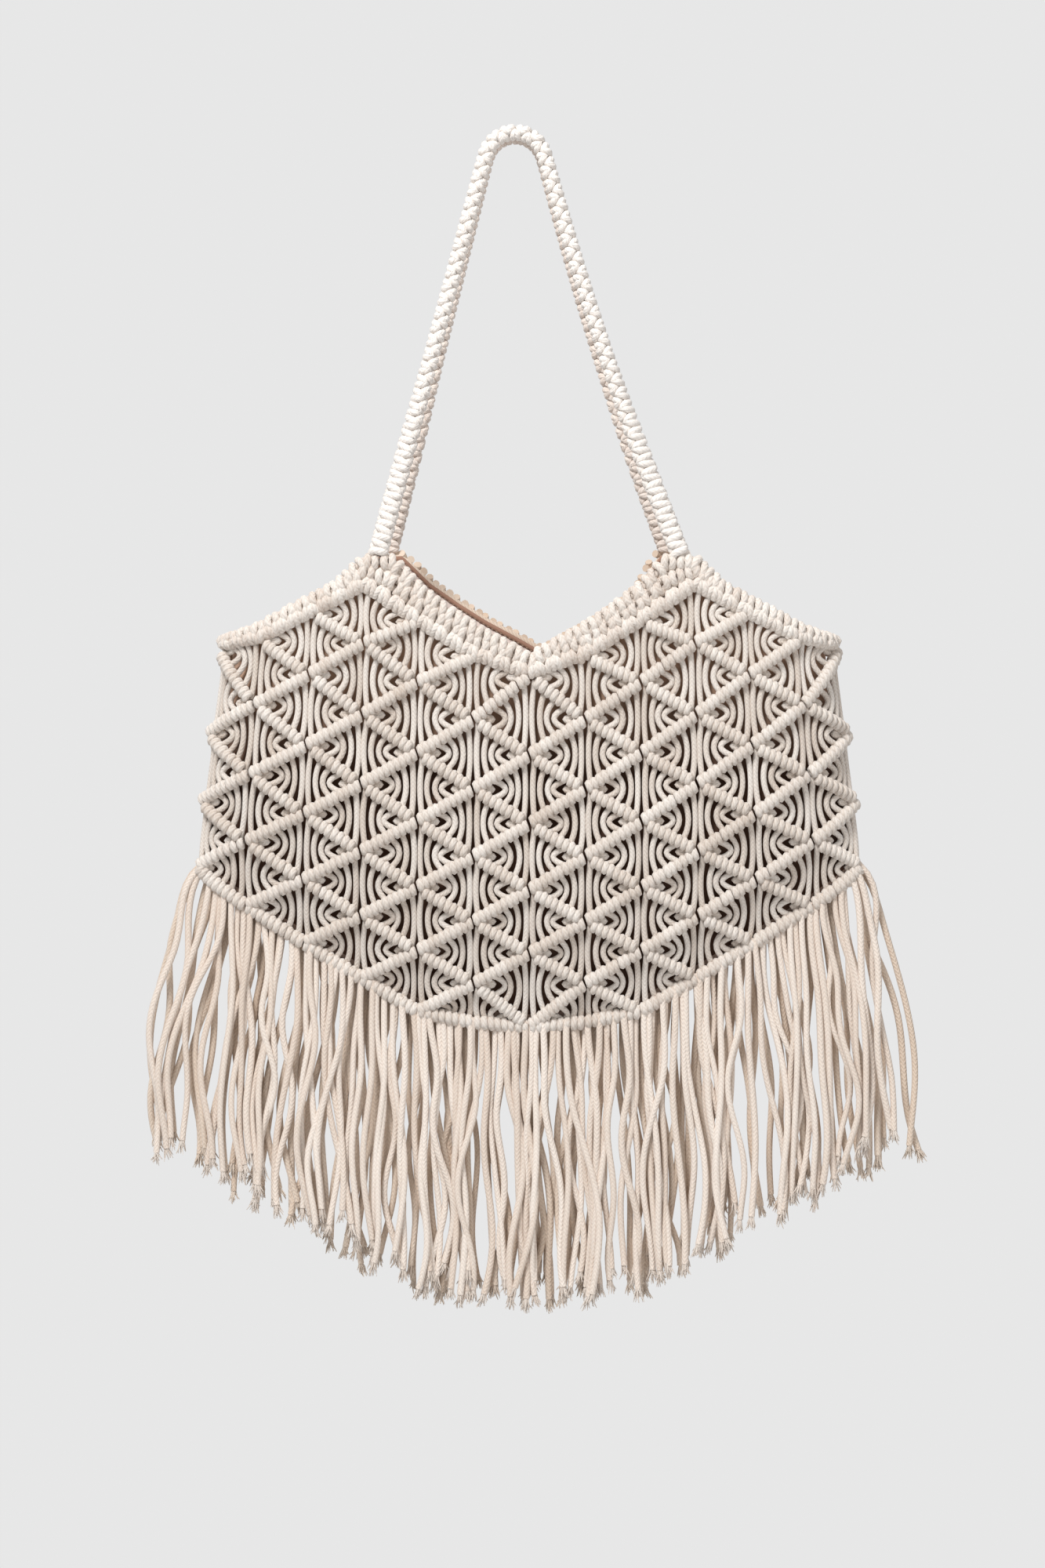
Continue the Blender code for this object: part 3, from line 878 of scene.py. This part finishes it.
# Darker than the lining, so that the hem reads as a line along the mouth
tape_cloth = plain_cloth("brown_hem_tape", "#7d5b49", "#94705d", "#8f6a56", "#a98370")
for face in (FRONT, BACK):
    bm = bmesh.new()
    grid = bmesh.ops.create_grid(bm, x_segments=180, y_segments=2, size=1)
    for vert in grid["verts"]:
        column = vert.co.x * (HALF_COLUMNS - 0.12)
        part = (vert.co.y + 1) / 2
        out = CLOTH + 0.0004 + TAPE_CLOTH * (1 - (2 * part - 1) ** 2)
        vert.co = hem_line(face, column, TAPE * (1 - part) - 0.0006, out)
    bmesh.ops.recalc_face_normals(bm, faces=bm.faces)
    for part in bm.faces:
        part.smooth = True
    mesh = bpy.data.meshes.new(face["name"] + "_hem_tape")
    bm.to_mesh(mesh)
    bm.free()
    mesh.materials.append(tape_cloth)
    tape = bpy.data.objects.new(face["name"] + "_hem_tape", mesh)
    bpy.context.scene.collection.objects.link(tape)
    thick = tape.modifiers.new("cloth", "SOLIDIFY")
    thick.thickness = TAPE_CLOTH
    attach(tape, "root")
    runs = []
    for n in range(STITCHES):
        middle = (n + 0.5) / STITCHES * 2 - 1
        half = 0.28 / STITCHES
        ends = [(middle + k * half) * (HALF_COLUMNS - 0.15) for k in (-1, 0, 1)]
        points = [hem_line(face, c, STITCH_LEVEL, CLOTH + d)
                  for c, d in zip(ends, (0.0006, 0.0014, 0.0006))]
        runs.append((points, [STITCH] * 3, -0.9, False))
    # The stitches take the darker copy made for the back face: painted shade
    stitches = cords(face["name"] + "_hem_stitches", runs, back_cotton_painted_shade, sides=4)
    hems += [tape, stitches]

# Fringe: the ends of the nets' own cotton cords, hanging loose below the
# border in two layers, one to each face, and frayed at their tips
FRINGE_LENGTH = 0.160
FRINGE_SPREAD = 0.020
STRANDS = 104
LOOSE_CORD = 0.00200
CORNER_SWING = 0.019
HANG_POINTS = 26
HAIRS = 14


def hanging(face, n):
    """One loose cord end: it comes out behind the border, turns down over it
    and hangs in slack waves to its tip."""
    place = (n + 0.5) / STRANDS * 2 - 1
    column = HALF_COLUMNS * place + rng.uniform(-0.06, 0.06)
    column = max(-HALF_COLUMNS, min(HALF_COLUMNS, column))
    side = math.copysign(1.0, column)
    share = abs(column) / HALF_COLUMNS
    start = on_body(face, column, border(column) + 0.003, 0.0)
    layer = rng.random()
    start.y = face["sign"] * (0.0024 + 0.0045 * layer)
    length = FRINGE_LENGTH * (1 + rng.uniform(-0.06, 0.05)) + 0.004
    waves = rng.uniform(0.8, 2.0)
    size = rng.uniform(0.0010, 0.0048)
    phase = rng.uniform(0, 2 * math.pi)
    drift = rng.gauss(0, 0.0065)
    curl = rng.gauss(0, 0.0035)
    gather = math.sin(place * 10.5 * math.pi + 0.6) * -0.0040
    spread = side * FRINGE_SPREAD * share ** 3
    outer = max(0.0, (share - 0.93) / 0.07) * rng.uniform(0.6, 1.0)
    points = []
    for k in range(HANG_POINTS):
        fall = k / (HANG_POINTS - 1)
        x = start.x + spread * smooth(fall * 1.2) + (drift + gather) * smooth(fall * 1.3)
        x += side * outer * CORNER_SWING * (1 - math.exp(-14 * fall)) * (1 - 0.25 * fall)
        x += size * min(1.0, 3 * fall) * math.sin(2 * math.pi * waves * fall + phase)
        x += curl * max(0.0, fall - 0.6) ** 2 * 6
        y = start.y + face["sign"] * 0.0035 * fall * math.sin(5 * fall + phase)
        y = face["sign"] * max(0.0022, abs(y))
        points.append(Vector((x, y, start.z - length * fall)))
    return points


def frays(tip, ahead):
    """The opened plaits of a cord end, flared like a small broom."""
    made = []
    for n in range(HAIRS):
        turn = 2 * math.pi * (n + rng.random()) / HAIRS
        off = Vector((math.cos(turn), math.sin(turn), 0))
        reach = 0.0013 * rng.uniform(0.2, 1.0)
        spread = rng.uniform(0.0004, 0.0030)
        length = rng.uniform(0.006, 0.011)
        points = []
        for k in range(4):
            t = k / 3
            points.append(tip + off * (reach + spread * t * t) + ahead * (length * t - 0.002)
                          + Vector((rng.uniform(-1, 1), rng.uniform(-1, 1), 0)) * 0.0007 * t)
        made.append((points, [0.00065, 0.0006, 0.00045, 0.0002],
                     rng.uniform(0.0, 0.3), False))
    return made


# Looser and warmer than the knots, with more of the braid to see
fringe_cotton = cotton("braided_cotton_of_fringe", "#cbb5a2", "#f6ede4")
for face in (FRONT, BACK):
    runs = []
    tufts = []
    for n in range(STRANDS):
        points = hanging(face, n)
        runs.append((points, [LOOSE_CORD * rng.uniform(0.92, 1.08)] * HANG_POINTS,
                     rng.uniform(-0.18, 0.18), False))
        tufts += frays(points[-1], (points[-1] - points[-2]).normalized())
    # The back fringe takes the darker copy of the cotton: painted shade
    kind = fringe_cotton if face is FRONT else back_cotton_painted_shade
    name = face["name"]
    hung = cords(name + "_fringe", runs, kind)
    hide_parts("fringe_" + name + "_left", "fringe_" + name + "_right")
    cords(name + "_frayed_ends", tufts, kind, sides=4)
